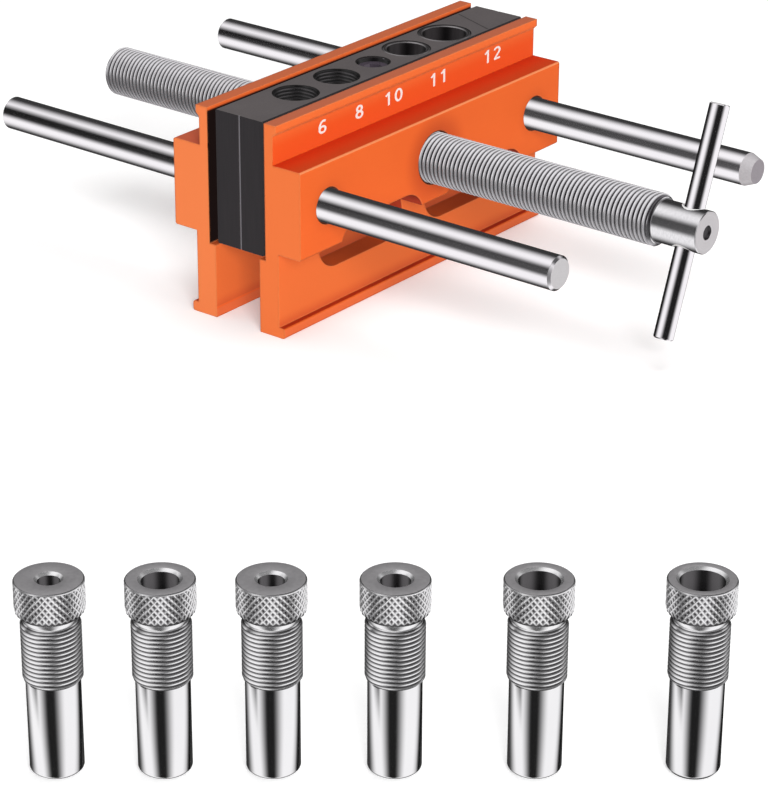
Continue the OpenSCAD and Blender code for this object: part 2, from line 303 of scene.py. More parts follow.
black_thread = Finish(bpy.data.materials.new("black_thread"))
x, y, z = black_thread.place()
off_axis = x.maths("MINIMUM", *(abs(x - hole_x * MM) for hole_x in TAPPED_X))
crest = ((off_axis ** 2 + y ** 2) ** 0.5).rise(
    (TAPPED_CREST + 0.25) * MM, (TAPPED_CREST + 0.03) * MM)
crest = crest * z.rise(40.5 * MM, 48 * MM)
thread_grey = black_thread.mix(
    black_thread.grain(x * 900, y * 900, z * 900), tint(16, 15, 16), tint(34, 32, 33))
black_thread.surface(
    Base_Color=black_thread.mix(crest, thread_grey, tint(78, 75, 77)),
    Metallic=0.3 + 0.5 * crest, Specular_IOR_Level=0.3,
    Roughness=0.22 + 0.12 * black_thread.grain(x * 300, y * 300, z * 300))
block_low, block_high = [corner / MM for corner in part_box("guide_block")]
for name, hole_x in zip(("tapped_thread_6", "tapped_thread_8"), TAPPED_X):
    piece(name,
          [threaded(block_low.z + 0.4, block_high.z - 0.15, (hole_x, 0, 0), (0, 0, 1), BUSH_PITCH,
                    TAPPED_CREST, TAPPED_R, ends=(7.98, 7.98), steps=72, inside=True)],
          [black_thread.owner], "block")

# Drill sleeves. Two hardened and ground steel tubes, pressed into their holes until their tops
# are flush. A drill runs in their bores, which are painted dark as painted shade, darker with
# depth below the chamfered rims.
SLEEVES = (("11", 19.2, 7.15, 8.55), ("12", 41.8, 8.15, 9.55))
SLEEVE_CHAMFER = 0.35


def turned(outline, start, axis, steps=128, ring=False):
    """Shell turned about an axis. The outline is (distance along, radius)."""
    start, axis = Vector(start), Vector(axis).normalized()
    side = axis.orthogonal().normalized()
    across = axis.cross(side)
    points, rows, faces = [], [], []
    for along, radius in outline:
        count = steps if radius > 0 else 1
        rows.append([len(points) + i for i in range(count)])
        for i in range(count):
            turn = 2 * math.pi * i / steps
            points.append((start + axis * along
                           + (side * math.cos(turn) + across * math.sin(turn)) * radius) * MM)
    pairs = list(zip(rows, rows[1:])) + ([(rows[-1], rows[0])] if ring else [])
    for low, high in pairs:
        for i in range(steps):
            j = (i + 1) % steps
            corners = [low[i % len(low)], low[j % len(low)],
                       high[j % len(high)], high[i % len(high)]]
            faces.append(list(dict.fromkeys(corners)))
    return points, faces


sleeve_steel = Finish(bpy.data.materials.new("sleeve_steel"))
x, y, z = sleeve_steel.place()
nx, ny, nz = sleeve_steel.facing()
rim = nz > 0.95
slope = (nz > 0.2) * (1 - rim)
# Painted shade: the bore walls are painted near black, darker with depth.
bore_shade = z.rise(46.5 * MM, 32 * MM)
sleeve_grey = sleeve_steel.mix(
    sleeve_steel.grain(x * 700, y * 700, z * 90), tint(28, 25, 26), tint(54, 50, 52))
sleeve_grey = sleeve_steel.mix(rim, sleeve_grey, tint(92, 88, 89))
sleeve_grey = sleeve_steel.mix(slope, sleeve_grey, tint(146, 142, 144))
sleeve_steel.surface(
    Base_Color=sleeve_steel.mix(bore_shade * (1 - rim) * 0.8, sleeve_grey, tint(26, 25, 25)),
    Metallic=0.85, Roughness=0.3 + 0.1 * rim + 0.1 * sleeve_steel.grain(x * 200, y * 200, z * 900))
for number, sleeve_x, bore, outer in SLEEVES:
    low, high = [corner.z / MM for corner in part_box("drill_sleeve_" + number)]
    rim_low = high - SLEEVE_CHAMFER
    rim_outline = [(low, bore), (low, outer), (rim_low, outer), (high, outer - SLEEVE_CHAMFER),
                   (high, bore + SLEEVE_CHAMFER), (rim_low, bore)]
    piece("turned_sleeve_" + number,
          [turned(rim_outline, (sleeve_x, 0, 0), (0, 0, 1), ring=True)],
          [sleeve_steel.owner], "block", ["drill_sleeve_" + number])

# Screw retainer and rod grubs. Black socket set screws, turned in with a hex key. The retainer
# sits in the small middle hole and stops the lead screw from moving along, and the grubs hold
# the rods from below.
black_screw = Finish(bpy.data.materials.new("black_screw"))
x, y, z = black_screw.place()
# Edges painted paler, as wear and as painted highlight.
soft, wear_and_highlight = black_screw.edge(0.15 * MM)
black_screw.surface(
    Base_Color=black_screw.mix(
        0.7 * black_screw.grain(x * 500, y * 500, z * 500) + wear_and_highlight * 2,
        tint(68, 60, 71), tint(116, 104, 117)),
    Metallic=0.45, Roughness=0.34 + 0.16 * black_screw.grain(x * 1500, y * 1500, z * 1500),
    Normal=soft)
for node in ("screw_retainer", "rod_grub_left", "rod_grub_right"):
    dress(node, black_screw.owner)
HOLE_R, HOLE_CREST, HOLE_PITCH, THREAD_FOOT_Z = 5.99, 5.95, 1.25, 40
piece("retainer_hole_thread",
      [threaded(THREAD_FOOT_Z, block_high.z - 0.6, (0, 0, 0), (0, 0, 1), HOLE_PITCH, HOLE_CREST,
                HOLE_R, steps=64, ends=(HOLE_R, HOLE_R), inside=True)],
      [black_thread.owner], "block")

# Jaws. Two equal lengths of extruded aluminium, cut, drilled and milled, then anodised orange.
# The fine lines of the extrusion run along them, the sawn ends are smoother and paler, and the
# faces that look at the block are painted dark as painted shade, the more as their gap to it
# narrows.
ROD_X, AXIS_Z, ROD_HOLE_R, SCREW_HOLE_R = 59.8, 19.3, 6.7, 9.95
SAWN_X, RECESS_Y, MIDDLE_Y = 70, 13, 24
TOP_Z, LIP_Z, LEDGE_Z, PAD_Z, FOOT_Z = 49.6, 45, 35.3, 2.5, -23.5
WINDOW_LOW, WINDOW_HIGH, WINDOW_REACH = -17, 12, 60
orange = Finish(bpy.data.materials.new("orange_anodised"))
x, y, z = orange.place()
nx, ny, nz = orange.facing()
die_lines = orange.grain(x * 18, y * 2600, z * 2600, 3.0)
saw_lines = orange.grain(x * 400, y * 260, z * 3200)
bloom = orange.grain(x * 24, y * 24, z * 24, 3.0)
fine = orange.grain(x * 3400, y * 3400, z * 3400, 1.0)
end = (abs(nx) > 0.8) * (abs(x) > SAWN_X * MM)
side = abs(ny) > 0.8
up = nz > 0.8
rear = y > 0
beside_windows = (z < WINDOW_HIGH * MM) * (z > WINDOW_LOW * MM)
shade = orange.mix(0.55 * bloom + 0.45 * die_lines, tint(248, 100, 32), tint(252, 114, 42))

# Faces to the front and the back, from the plate above the ledge down to the foot.
plate = side * (z > (LEDGE_Z + 0.1) * MM) * (abs(y) > RECESS_Y * MM)
shade = orange.mix(plate * 0.85, shade, tint(250, 84, 10))
low_plate = side * (z < PAD_Z * MM) * (z > FOOT_Z * MM)
shade = orange.mix(low_plate * 0.5, shade, tint(246, 126, 62))
# Painted shade: the lower plate is painted darker just above the foot.
above_foot_shade = low_plate * z.rise((FOOT_Z + 4.5) * MM, (FOOT_Z - 0.5) * MM)
shade = orange.mix(above_foot_shade * 0.6, shade, tint(226, 84, 34))
foot_front = side * (z < (FOOT_Z - 0.7) * MM)
shade = orange.mix(foot_front * 0.7, shade, tint(244, 116, 64))
# Painted highlight: the top band of the plate is painted paler towards its edge.
brim = plate * z.rise((TOP_Z - 9.1) * MM, (TOP_Z - 1.1) * MM)
shade = orange.mix(brim * 0.75, shade, tint(255, 124, 56))
# Painted highlight: the chamfers along the upper edges are painted pale.
bevel_highlight = (nz > 0.5) * (nz < 0.9) * (abs(ny) > 0.4) * (z > (LEDGE_Z - 5) * MM)
shade = orange.mix(bevel_highlight * 0.8, shade, tint(255, 160, 106))

# Sawn ends, and faces that look up or down.
shade = orange.mix(end * 0.7, shade, orange.mix(rear, tint(247, 128, 66), tint(251, 142, 82)))
lip_top = up * (z > LIP_Z * MM)
shade = orange.mix(
    lip_top * 0.85, shade, orange.mix(rear, tint(218, 124, 92), tint(230, 126, 86)))
ledge = up * (abs(z - LEDGE_Z * MM) < 1.3 * MM)
shade = orange.mix(ledge * 0.9, shade, orange.mix(
    (abs(y) - 17 * MM).rise(0.0, 12 * MM), tint(244, 52, 2), tint(232, 76, 30)))
shade = orange.mix(ledge * rear * 0.8, shade, tint(218, 116, 84))
# Painted shade: the pad's narrow top is painted dark red.
pad_top_shade = up * (abs(z) < 1 * MM) * (abs(y) < RECESS_Y * MM)
shade = orange.mix(pad_top_shade * 0.9, shade, tint(110, 30, 12))
# Painted shade: the upward faces near the foot are painted a deep red.
foot_groove_shade = up * (z < (FOOT_Z + 5) * MM)
shade = orange.mix(foot_groove_shade * 0.85, shade, tint(206, 48, 8))
window_sill = (nz > 0.3) * beside_windows
shade = orange.mix(window_sill * 0.8, shade, tint(250, 106, 46))
# Painted shade: the windows' inner walls are painted dark red.
window_wall_shade = (abs(ny) < 0.5) * (nz < 0.3) * (abs(x) < WINDOW_REACH * MM) * beside_windows
shade = orange.mix(window_wall_shade * 0.9, shade, tint(182, 46, 8))
# Painted light: the lip's downward faces are painted paler and not metallic, to stand in for the
# light they lack.
under_lip_light = (nz < -0.3) * (z > (LIP_Z - 5) * MM)
shade = orange.mix(under_lip_light, shade, tint(255, 136, 72))

# Painted shade round the rods and the screw, inside their holes, and on the faces towards the
# block.
from_rod = ((abs(x) - ROD_X * MM) ** 2 + (z - AXIS_Z * MM) ** 2) ** 0.5
from_screw = (x ** 2 + (z - AXIS_Z * MM) ** 2) ** 0.5
# Painted shade on the outer faces round the screw and, faintly, the rods.
contact_shade = from_screw.rise(19 * MM, 9.5 * MM) + 0.25 * from_rod.rise(11 * MM, 6 * MM)
shade = orange.mix(contact_shade * side * (abs(y) > MIDDLE_Y * MM) * 0.6, shade, tint(206, 70, 18))
# Painted shade inside the holes and on their mouths.
hole_shade = (from_rod < ROD_HOLE_R * MM) + (from_screw < SCREW_HOLE_R * MM)
hole_shade = hole_shade * (abs(y) > (RECESS_Y + 0.5) * MM)
shade = orange.mix(hole_shade * 0.9, shade, tint(46, 18, 12))
# Painted shade on the faces towards the block, darker where the gap to it is narrow.
open_air = orange.node("AmbientOcclusion", {"samples": 12}, {"Distance": 14 * MM}, "AO")
narrow = 0.55 + 0.25 * abs(x).rise((SAWN_X - 6) * MM, SAWN_X * MM)
gap_shade = (abs(y) < RECESS_Y * MM) * side * (z > -0.4 * MM)
gap_shade = gap_shade * z.rise((TOP_Z - 0.7) * MM, (TOP_Z - 1.6) * MM) * open_air.rise(0.95, narrow)
shade = orange.mix(gap_shade, shade, tint(22, 6, 4))

# Corners, painted paler as wear and as painted highlight, but not where the plate meets the ledge.
soft, wear_and_highlight = orange.edge(0.8 * MM)
inner_corner = (z > (LEDGE_Z - 0.4) * MM) * (z < (LEDGE_Z + 1.3) * MM) * (abs(y) < 18 * MM)
wear_and_highlight = (wear_and_highlight * 10).rise(0.1, 1.0) * (1 - inner_corner)
shade = orange.mix(wear_and_highlight * 0.5, shade, tint(255, 150, 92))
orange.surface(
    Base_Color=shade, Metallic=(0.4 + 0.6 * gap_shade) * (1 - under_lip_light), Specular_IOR_Level=0.25,
    Normal=orange.bump(orange.mix(end, die_lines, saw_lines), 0.02 * MM, 0.3, soft),
    Roughness=0.34 + 0.1 * die_lines + 0.06 * fine)
for node in ("front_jaw", "rear_jaw"):
    dress(node, orange.owner)

# Numerals. The sizes of the holes, printed in white above the ledge of the front jaw, one under
# each hole, in wide plain figures. A figure is drawn in a square of side 1, as strokes that are
# (points, whether they close).
FIGURE_HIGH, FIGURE_WIDE, FIGURE_STEP, FIGURE_MIDDLE = 4.9, 7.5, 5.9, 0.31
STROKE_WEIGHT, PRINT_Y, PRINT_LAYER = 0.15, -16.43, 0.003
NUMERALS = (("6", -48.4, 41.8), ("8", -28.2, 41.7), ("10", -9.1, 41.9), ("11", 17.0, 41.9),
            ("12", 49.2, 42.2))


def stroke(line, weight, closed):
    """A flat band of even weight along a line of points."""
    line = [Vector(point) for point in line]
    count = len(line)
    edges = []
    for i, point in enumerate(line):
        before = line[i - 1] if i or closed else point
        after = line[(i + 1) % count] if i + 1 < count or closed else point
        way = (after - before).normalized()
        edges.append((point + Vector((-way.y, way.x)) * weight / 2,
                      point - Vector((-way.y, way.x)) * weight / 2))
    return [(edges[i], edges[(i + 1) % count]) for i in range(count if closed else count - 1)]


def bow(cx, cy, rx, ry, first, last, steps=20):
    """Points of an arc, from one angle to another in degrees."""
    turns = [math.radians(first + (last - first) * i / steps) for i in range(steps + 1)]
    return [(cx + rx * math.cos(t), cy + ry * math.sin(t)) for t in turns]


FIGURES = {
    "0": [(bow(0.31, 0.5, 0.225, 0.425, 0, 345, 23), True)],
    "1": [([(0.36, 0.0), (0.36, 1.0)], False),
          ([(0.33, 0.93), (0.25, 0.82), (0.12, 0.74)], False)],
    "2": [(bow(0.31, 0.70, 0.215, 0.225, 165, -35) + [(0.12, 0.09)], False),
          ([(0.07, 0.075), (0.56, 0.075)], False)],
    "6": [(bow(0.31, 0.30, 0.21, 0.225, 0, 345, 23), True),
          (bow(0.39, 0.40, 0.29, 0.525, 180, 62), False)],
    "8": [(bow(0.31, 0.725, 0.175, 0.20, 0, 345, 23), True),
          (bow(0.31, 0.285, 0.215, 0.225, 0, 345, 23), True)],
}
white_print = Finish(bpy.data.materials.new("white_print"))
x, y, z = white_print.place()
white_print.surface(
    Base_Color=white_print.mix(
        white_print.grain(x * 1400, y * 1400, z * 1400), tint(236, 232, 228), tint(252, 250, 246)),
    Roughness=0.5 + 0.1 * white_print.grain(x * 400, y * 400, z * 400))
for number, middle_x, middle_z in NUMERALS:
    points, faces = [], []
    for place, figure in enumerate(number):
        left = middle_x + FIGURE_STEP * (place - (len(number) - 1) / 2)
        left -= FIGURE_MIDDLE * FIGURE_WIDE
        for layer, (line, closed) in enumerate(FIGURES[figure]):
            for one, two in stroke(line, STROKE_WEIGHT, closed):
                faces.append(list(range(len(points), len(points) + 4)))
                points += [Vector((left + corner.x * FIGURE_WIDE, PRINT_Y - PRINT_LAYER * layer,
                                   middle_z + (corner.y - 0.5) * FIGURE_HIGH)) * MM
                           for corner in (one[1], two[1], two[0], one[0])]
    piece("numeral_" + number, [(points, faces)], [white_print.owner], "front_jaw")

# Guide rods. Two ground and polished steel rods, held in the block by the grubs, on which both
# jaws slide. The right one's front end has a long taper. The T-bar has the same finish, and all
# of it lies in front of BAR_PLANE_Y.
BAR_PLANE_Y, REAR_CHAMFER = -130, 0.9
steel = Finish(bpy.data.materials.new("polished_steel"))
x, y, z = steel.place()
nx, ny, nz = steel.facing()
flat_end = (abs(ny) > 0.9) * (y > BAR_PLANE_Y * MM)
bar_end = (abs(nz) > 0.8) * (y < BAR_PLANE_Y * MM)
on_right = x > 50 * MM
long_taper = (abs(ny) > 0.2) * (abs(ny) < 0.6) * on_right * (y < 0)
cut_end = flat_end + long_taper + bar_end
rings = steel.grain(x * 3000, y * 500, z * 3000)
haze = steel.grain(x * 40, y * 14, z * 40, 3.0)
soft, wear_and_highlight = steel.edge(0.2 * MM)
steel_grey = steel.mix(haze, tint(230, 226, 231), tint(242, 239, 242))
cut_grey = steel.mix(
    rings,
    steel.mix(on_right, tint(186, 183, 185), tint(140, 133, 139)),
    steel.mix(on_right, tint(208, 205, 207), tint(166, 159, 165)))
taper_grey = steel.mix(rings, tint(176, 172, 175), tint(206, 202, 205))
steel.surface(
    Base_Color=steel.mix(cut_end, steel_grey, steel.mix(long_taper, cut_grey, taper_grey)),
    Metallic=1.0 - 0.7 * cut_end,
    Roughness=0.10 + 0.05 * haze + cut_end * (0.3 + 0.1 * rings),
    Normal=steel.bump(rings * cut_end, 0.01 * MM, 0.3, soft))
for rod, taper, drop in (("left", 0.9, 0.9), ("right", 4.0, 1.6)):
    low, high = [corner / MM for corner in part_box("guide_rod_" + rod)]
    radius, length = (high.x - low.x) / 2, high.y - low.y
    outline = [(0, 0), (0, radius - drop), (taper, radius), (length - REAR_CHAMFER, radius),
               (length, radius - REAR_CHAMFER), (length, 0)]
    piece("turned_rod_" + rod,
          [turned(outline, ((low.x + high.x) / 2, low.y, (low.z + high.z) / 2), (0, 1, 0))],
          [steel.owner], "block", ["guide_rod_" + rod], sharp=12)

# Lead screw. Its front half has a left hand thread and its rear half a right hand one, so both
# jaws close alike. A groove in its middle takes the retainer's point. The plain head is polished
# and centre drilled, and the edge of the hole across it for the T-bar carries a painted white
# highlight.
low, high = [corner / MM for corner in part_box("lead_screw")]
PITCH, CREST, ROOT, GROOVE, END_DROP = 1.75, high.x, 8.13, 7.2, 1.2
HEAD_R, HEAD_Y, SHOULDER_Y, NECK_Y = 7.5, low.y, -124.9, 3.7
CENTRE_DRILL_R, CROSS_Y, CROSS_R = 2.45, -135.7, 3.6
TILT = math.radians(20.6)
screw_steel = Finish(bpy.data.materials.new("screw_steel"))
x, y, z = screw_steel.place()
nx, ny, nz = screw_steel.facing()
above_axis = z - AXIS_Z * MM
from_axis = (x ** 2 + above_axis ** 2) ** 0.5
on_head = y < (SHOULDER_Y + 0.2) * MM
face = (abs(ny) > 0.9) * (y < (HEAD_Y + 2.6) * MM)
# Painted shade: the centre drilled hole is painted dark.
centre_hole_shade = (from_axis < (CENTRE_DRILL_R + 0.05) * MM) * (y < (HEAD_Y + 4.6) * MM)
# Painted light and shade: the thread is painted lighter above its axis than below it.
underside_shade = above_axis.rise(3.0 * MM, -1.5 * MM)
# Painted shade: the thread's valleys are painted dark, less so on the underside.
valley_shade = from_axis.rise((CREST - 0.1) * MM, (CREST - 0.8) * MM) * (1 - on_head)
drawn = screw_steel.grain(x * 900, y * 2600, z * 900)
haze = screw_steel.grain(x * 60, y * 30, z * 60, 3.0)
turned_rings = screw_steel.grain(from_axis * 4200, y * 100, 0.5, 1.0)
thread_grey = screw_steel.mix(
    underside_shade,
    screw_steel.mix(drawn, tint(202, 200, 204), tint(228, 226, 229)),
    screw_steel.mix(drawn, tint(166, 164, 168), tint(190, 188, 191)))
head_grey = screw_steel.mix(drawn, tint(206, 204, 208), tint(236, 234, 236))
screw_grey = screw_steel.mix(on_head, thread_grey, head_grey)
screw_grey = screw_steel.mix(valley_shade * (1 - 0.55 * underside_shade), screw_grey, tint(74, 71, 76))
# Painted shade: a dark ring where the thread's shoulder meets the head.
shoulder_shade = (from_axis < (HEAD_R + 0.5) * MM) * (abs(ny) > 0.8)
shoulder_shade = shoulder_shade * (abs(y - SHOULDER_Y * MM) < 1 * MM)
screw_grey = screw_steel.mix(shoulder_shade * 0.8, screw_grey, tint(48, 45, 50))
face_grey = screw_steel.mix(turned_rings, tint(186, 182, 184), tint(210, 206, 209))
screw_grey = screw_steel.mix(face, screw_grey, face_grey)
screw_grey = screw_steel.mix(centre_hole_shade, screw_grey, tint(62, 60, 62))
across_bar = x * math.cos(TILT) - above_axis * math.sin(TILT)
from_bar = (across_bar ** 2 + (y - CROSS_Y * MM) ** 2) ** 0.5
# Painted highlight: the edge round the T-bar's hole is painted white and not metallic.
edge_highlight = (from_bar < (CROSS_R + 0.85) * MM) * (from_bar > (CROSS_R - 0.05) * MM) * on_head
screw_grey = screw_steel.mix(edge_highlight, screw_grey, tint(255, 255, 255))
screw_steel.surface(
    Base_Color=screw_grey,
    Metallic=0.8 + 0.2 * on_head - 0.7 * face - 0.8 * edge_highlight,
    Roughness=0.19 - 0.08 * on_head + 0.05 * haze + 0.26 * face + 0.2 * centre_hole_shade,
    Normal=screw_steel.bump(turned_rings * face + drawn * (1 - on_head) * 0.5, 0.008 * MM, 0.3))

centre, backwards = (0, 0, AXIS_Z), (0, 1, 0)
thread_start, thread_root = CREST - END_DROP, ROOT - 0.05
shoulder = turned([(SHOULDER_Y, HEAD_R - 0.2), (SHOULDER_Y, thread_start)], centre, backwards, 96)
front_thread = threaded(SHOULDER_Y, -NECK_Y, centre, backwards, PITCH, CREST, ROOT, -1,
                        (thread_start, thread_root))
neck = turned([(-NECK_Y, thread_root), (-NECK_Y, GROOVE), (NECK_Y, GROOVE),
               (NECK_Y, thread_root)], centre, backwards, 96)
rear_thread = threaded(NECK_Y, high.y, centre, backwards, PITCH, CREST, ROOT, 1,
                       (thread_root, thread_start))
rear_end = turned([(high.y, thread_start), (high.y, CENTRE_DRILL_R),
                   (high.y - 1.2, CENTRE_DRILL_R), (high.y - 2.6, 0)], centre, backwards, 96)
screw = piece("screw_thread", [shoulder, front_thread, neck, rear_thread, rear_end],
              [screw_steel.owner], "screw", ["lead_screw"], sharp=50)

bar_axis = Vector((math.sin(TILT), 0, math.cos(TILT)))
bar_centre = Vector((0, CROSS_Y, AXIS_Z))
head = piece(
    "screw_head",
    [turned([(HEAD_Y + 2.6, 0), (HEAD_Y + 1.2, CENTRE_DRILL_R), (HEAD_Y + 0.12, CENTRE_DRILL_R),
             (HEAD_Y, CENTRE_DRILL_R + 0.12), (HEAD_Y, HEAD_R - 0.25), (HEAD_Y + 0.25, HEAD_R),
             (SHOULDER_Y + 0.5, HEAD_R), (SHOULDER_Y + 0.5, 0)], centre, backwards)],
    [screw_steel.owner], "screw", ["lead_screw"])
cutter = piece(
    "cross_drill",
    [turned([(-9.5, 0), (-9.5, 6.5), (-6.6, CROSS_R), (6.6, CROSS_R), (9.5, 6.5), (9.5, 0)],
            bar_centre, bar_axis, 96)],
    [screw_steel.owner], "screw")
drilling = head.modifiers.new("cross_hole", "BOOLEAN")
drilling.object, drilling.operation, drilling.solver = cutter, "DIFFERENCE", "EXACT"
bpy.context.view_layer.update()
drilled = bpy.data.meshes.new_from_object(
    head.evaluated_get(bpy.context.evaluated_depsgraph_get()))
head.modifiers.clear()
head.data = drilled
bpy.data.objects.remove(cutter)
drilled.set_sharp_from_angle(angle=math.radians(20))
# The cut leaves long faces on the barrel, which shade evenly only with normals from the axis.
normals = []
for polygon in drilled.polygons:
    for corner in polygon.loop_indices:
        point = drilled.vertices[drilled.loops[corner].vertex_index].co / MM
        spoke = Vector((point.x, 0, point.z - AXIS_Z))
        on_barrel = abs(spoke.length - HEAD_R) < 0.02 and abs(polygon.normal.y) < 0.02
        on_barrel = on_barrel and polygon.normal.dot(spoke.normalized()) > 0.98
        normals.append(spoke.normalized() if on_barrel
                       else drilled.corner_normals[corner].vector.copy())
drilled.normals_split_custom_set(normals)

# T-bar. A plain polished steel bar that slides through the screw's head and is held there by
# friction. Both its ends have a small chamfer.
BAR_LOW, BAR_HIGH, BAR_R, BAR_CHAMFER = -38.35, 42.65, 3.5, 0.4
bar = piece(
    "turned_bar",
    [turned([(BAR_LOW, 0), (BAR_LOW, BAR_R - BAR_CHAMFER), (BAR_LOW + BAR_CHAMFER, BAR_R),
             (BAR_HIGH - BAR_CHAMFER, BAR_R), (BAR_HIGH, BAR_R - BAR_CHAMFER), (BAR_HIGH, 0)],
            bar_centre, bar_axis)],
    [steel.owner], "handle", ["handle_bar"])

# Drill bushings. Six hardened steel bushings with a knurled head, a thread that fits the tapped
# holes and a ground body. They stand loose in a row in front of the jig, each with another bore.
# Heights are counted from a bushing's foot.
BUSH_BORES = (3, 5, 3.5, 4, 5.5, 6)
BODY_R, THREAD_R, THREAD_ROOT, COLLAR_R, UNDER_HEAD_R = 7.2, 7.92, 7.25, 7.5, 8.05
THREAD_LOW, THREAD_HIGH, HEAD_LOW, THREAD_ENDS_R = 27.15, 44.6, 46.4, (7.12, 7.05)
KNURL_DEEP, KNURL_ROUND, KNURL_RISE = 0.5, 68, 1.0
BUSH_AT = []
for number in range(1, 7):
    low, high = [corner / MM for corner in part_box(f"drill_bushing_{number}")]
    BUSH_AT.append(((low + high) / 2, low.z, high.z, (high.x - low.x) / 2))
floor_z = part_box("front_jaw")[0].z
bush_steel = Finish(bpy.data.materials.new("bushing_steel"))
x, y, z = bush_steel.place()
from_axis = 1  # A metre, which is further than any bushing's own surface.
for at, foot, tip, rim in BUSH_AT:
    from_this = ((x - at.x * MM) ** 2 + (y - at.y * MM) ** 2) ** 0.5
    from_axis = x.maths("MINIMUM", from_this, from_axis)
nx, ny, nz = bush_steel.facing()
height_up = z - floor_z
flat_top = (nz > 0.9) * (height_up > (HEAD_LOW + 3.6) * MM)
knurled = (height_up > (HEAD_LOW - 0.1) * MM) * (1 - flat_top)
thread_zone = (height_up > (THREAD_LOW + 0.05) * MM) * (height_up < (HEAD_LOW - 0.1) * MM)
haze = bush_steel.grain(x * 90, y * 90, z * 20, 3.0)
facing_marks = bush_steel.grain(x * 900, y * 900, z * 900, 3.0)
bush_grey = bush_steel.mix(haze, tint(224, 223, 226), tint(240, 239, 240))
# Painted shade: the thread's valleys are painted near black.
valley_shade = thread_zone * (height_up < (THREAD_HIGH - 0.2) * MM)
valley_shade = valley_shade * from_axis.rise((THREAD_R - 0.07) * MM, (THREAD_ROOT + 0.1) * MM)
# Painted shade in the knurl's pits.
pit_shade = knurled * (from_axis > (UNDER_HEAD_R + 0.15) * MM) * from_axis.rise(9.2 * MM, 8.84 * MM)
bush_grey = bush_steel.mix(valley_shade * 0.85 + pit_shade * 0.95, bush_grey, tint(38, 36, 39))
top_grey = bush_steel.mix(facing_marks, tint(128, 126, 128), tint(152, 150, 152))
bush_steel.surface(
    Base_Color=bush_steel.mix(flat_top, bush_grey, top_grey),
    Metallic=1.0 - 0.75 * flat_top - 0.15 * knurled - 0.1 * thread_zone,
    Roughness=0.09 + 0.04 * haze + 0.06 * thread_zone + 0.12 * knurled + 0.3 * flat_top,
    Normal=bush_steel.bump(facing_marks * flat_top, 0.01 * MM, 0.3))
# Painted shade: the bushings' bores are painted darker with depth.
bore_steel = Finish(bpy.data.materials.new("bore_steel"))
x, y, z = bore_steel.place()
bore_steel.surface(
    Base_Color=bore_steel.mix(
        z.rise(26.0 * MM, 10 * MM), tint(84, 82, 84), tint(24, 23, 24)),
    Metallic=0.9, Roughness=0.2 + 0.1 * bore_steel.grain(x * 900, y * 900, z * 200))


def knurl(low, high, centre, radius, depth, around, rise, foot, brim):
    """Diamond knurl round an upright axis. Its points stand out and in by turns, and keep
    within a chamfer from the (height, radius) in foot and in brim."""
    rows = round((high - low) / rise)
    points, faces = [], []
    for i in range(rows + 1):
        up = low + (high - low) * i / rows
        for j in range(around):
            at = radius - (depth if (i + j) % 2 == 0 else 0)
            at = min(at, foot[1] + up - foot[0], brim[1] + brim[0] - up)
            turn = 2 * math.pi * j / around
            points.append(Vector((centre.x + at * math.cos(turn),
                                  centre.y + at * math.sin(turn), up)) * MM)
    for i in range(rows):
        for j in range(around):
            a, b = i * around + j, i * around + (j + 1) % around
            c, d = b + around, a + around
            faces += [[a, b, c], [a, c, d]] if (i + j) % 2 else [[a, b, d], [b, c, d]]
    return points, faces


for number, bore, (at, foot, tip, rim) in zip(range(1, 7), BUSH_BORES, BUSH_AT):
    at, upright = Vector((at.x, at.y, 0)), (0, 0, 1)
    head_low, brim_low = foot + HEAD_LOW, tip - 0.5
    body = turned([(foot, bore + 0.3), (foot, 5.9), (foot + 0.12, 6.15), (foot + 0.45, 6.6),
                   (foot + 0.9, 7.05), (foot + 1.3, BODY_R), (foot + THREAD_LOW - 0.15, BODY_R),
                   (foot + THREAD_LOW, THREAD_ENDS_R[0])], at, upright)
    screwed = threaded(foot + THREAD_LOW, foot + THREAD_HIGH, at, upright, BUSH_PITCH, THREAD_R,
                       THREAD_ROOT, ends=THREAD_ENDS_R, steps=80)
    collar = turned([(foot + THREAD_HIGH, THREAD_ENDS_R[1]), (foot + THREAD_HIGH + 0.6, COLLAR_R),
                     (head_low, COLLAR_R), (head_low, UNDER_HEAD_R)], at, upright)
    gripped = knurl(head_low, brim_low, at, rim, KNURL_DEEP, KNURL_ROUND, KNURL_RISE,
                    (head_low, UNDER_HEAD_R), (tip, rim - KNURL_DEEP))
    brim = turned([(brim_low, rim - 0.02), (tip - 0.3, rim - 0.12), (tip - 0.08, rim - 0.34),
                   (tip, rim - 0.55), (tip, bore + 0.95), (tip - 0.12, bore + 0.72),
                   (tip - 0.8, bore)], at, upright)
    inside = turned([(tip - 0.8, bore), (foot + 0.3, bore), (foot, bore + 0.3)], at, upright)
    piece(f"turned_bushing_{number}",
          [body, screwed, collar, gripped + (0, False), brim, inside + (1,)],
          [bush_steel.owner, bore_steel.owner], f"bushing_{number}",
          [f"drill_bushing_{number}"], sharp=40)

# Studio, in metres. A camera, a white floor and soft lamps for the coloured faces, and round them
# two tents that only polished metal sees, pale with dark parts, one for the screw's thread and
# the T-bar and one for all else.
EYE = Vector((-0.8143, -0.6473, 0.4006))
AHEAD = Vector((0.7126, 0.5616, -0.4203)).normalized()
ROLL, LENS, SENSOR = math.radians(0.229), 140.23, 36
right = AHEAD.cross(Vector((0, 0, 1))).normalized()
above = right.cross(AHEAD)
right, above = (math.cos(ROLL) * right + math.sin(ROLL) * above,
                math.cos(ROLL) * above - math.sin(ROLL) * right)
camera = bpy.data.objects.new("camera", bpy.data.cameras.new("camera"))
camera.matrix_world = (Matrix.Translation(EYE)
                       @ Matrix((right, above, -AHEAD)).transposed().to_4x4())
camera.data.sensor_width, camera.data.lens = SENSOR, LENS
camera.data.clip_start, camera.data.clip_end = 0.05, 50
bpy.context.scene.collection.objects.link(camera)
bpy.context.scene.camera = camera

